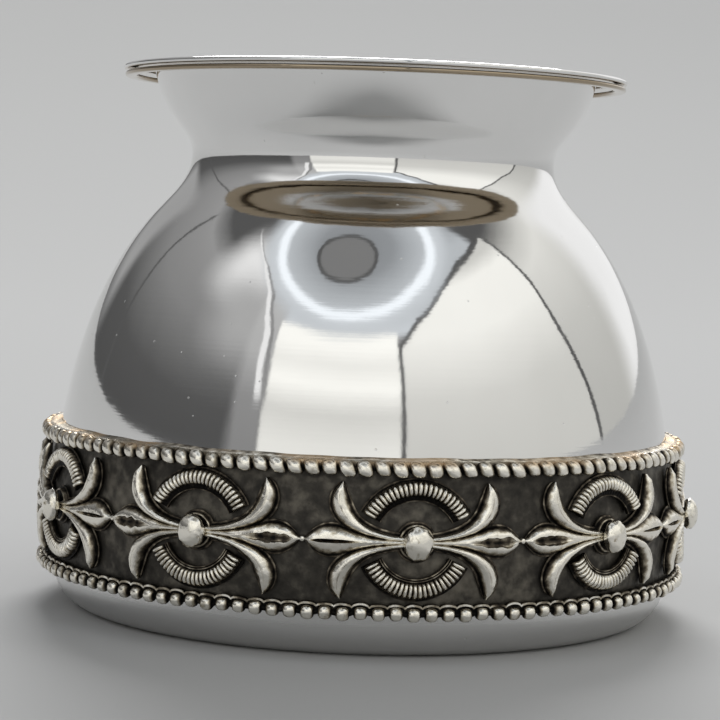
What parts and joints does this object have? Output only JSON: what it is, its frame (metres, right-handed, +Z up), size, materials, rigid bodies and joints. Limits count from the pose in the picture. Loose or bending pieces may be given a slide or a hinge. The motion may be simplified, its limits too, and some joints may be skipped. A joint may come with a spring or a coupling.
{
  "type": "ghee pot",
  "caption": "Small squat silver ghee pot with a flared neck, flat flanged mouth and an oxidised relief band of leaf crosses, crescents and bosses between beaded wires.",
  "frame": {"origin": "centre of the flat base, on the surface that the pot stands on", "axes": "+Z up along the pot's axis of revolution; -Y through the boss of the first motif, towards the viewer; +X to the right"},
  "size_m": [0.0702, 0.0728, 0.0574],
  "materials": {
    "polished_silver": "mirror-polished spun silver",
    "oxidised_silver": "oxidised silver ground, matt and near black",
    "bright_relief_silver": "bright silver relief with oxidised crevices"
  },
  "bodies": {
    "root": {"pot_body": "polished_silver", "lip_wire": "polished_silver", "band_strip": "oxidised_silver", "upper_beaded_wire": "bright_relief_silver", "lower_beaded_wire": "bright_relief_silver", "leaf_cross_01": "bright_relief_silver", "boss_01": "bright_relief_silver", "upper_crescent_01": "bright_relief_silver", "lower_crescent_01": "bright_relief_silver", "leaf_cross_02": "bright_relief_silver", "boss_02": "bright_relief_silver", "upper_crescent_02": "bright_relief_silver", "lower_crescent_02": "bright_relief_silver", "leaf_cross_03": "bright_relief_silver", "boss_03": "bright_relief_silver", "upper_crescent_03": "bright_relief_silver", "lower_crescent_03": "bright_relief_silver", "leaf_cross_04": "bright_relief_silver", "boss_04": "bright_relief_silver", "upper_crescent_04": "bright_relief_silver", "lower_crescent_04": "bright_relief_silver", "leaf_cross_05": "bright_relief_silver", "boss_05": "bright_relief_silver", "upper_crescent_05": "bright_relief_silver", "lower_crescent_05": "bright_relief_silver", "leaf_cross_06": "bright_relief_silver", "boss_06": "bright_relief_silver", "upper_crescent_06": "bright_relief_silver", "lower_crescent_06": "bright_relief_silver", "leaf_cross_07": "bright_relief_silver", "boss_07": "bright_relief_silver", "upper_crescent_07": "bright_relief_silver", "lower_crescent_07": "bright_relief_silver", "leaf_cross_08": "bright_relief_silver", "boss_08": "bright_relief_silver", "upper_crescent_08": "bright_relief_silver", "lower_crescent_08": "bright_relief_silver", "leaf_cross_09": "bright_relief_silver", "boss_09": "bright_relief_silver", "upper_crescent_09": "bright_relief_silver", "lower_crescent_09": "bright_relief_silver", "leaf_cross_10": "bright_relief_silver", "boss_10": "bright_relief_silver", "upper_crescent_10": "bright_relief_silver", "lower_crescent_10": "bright_relief_silver"}
  },
  "joints": []
}
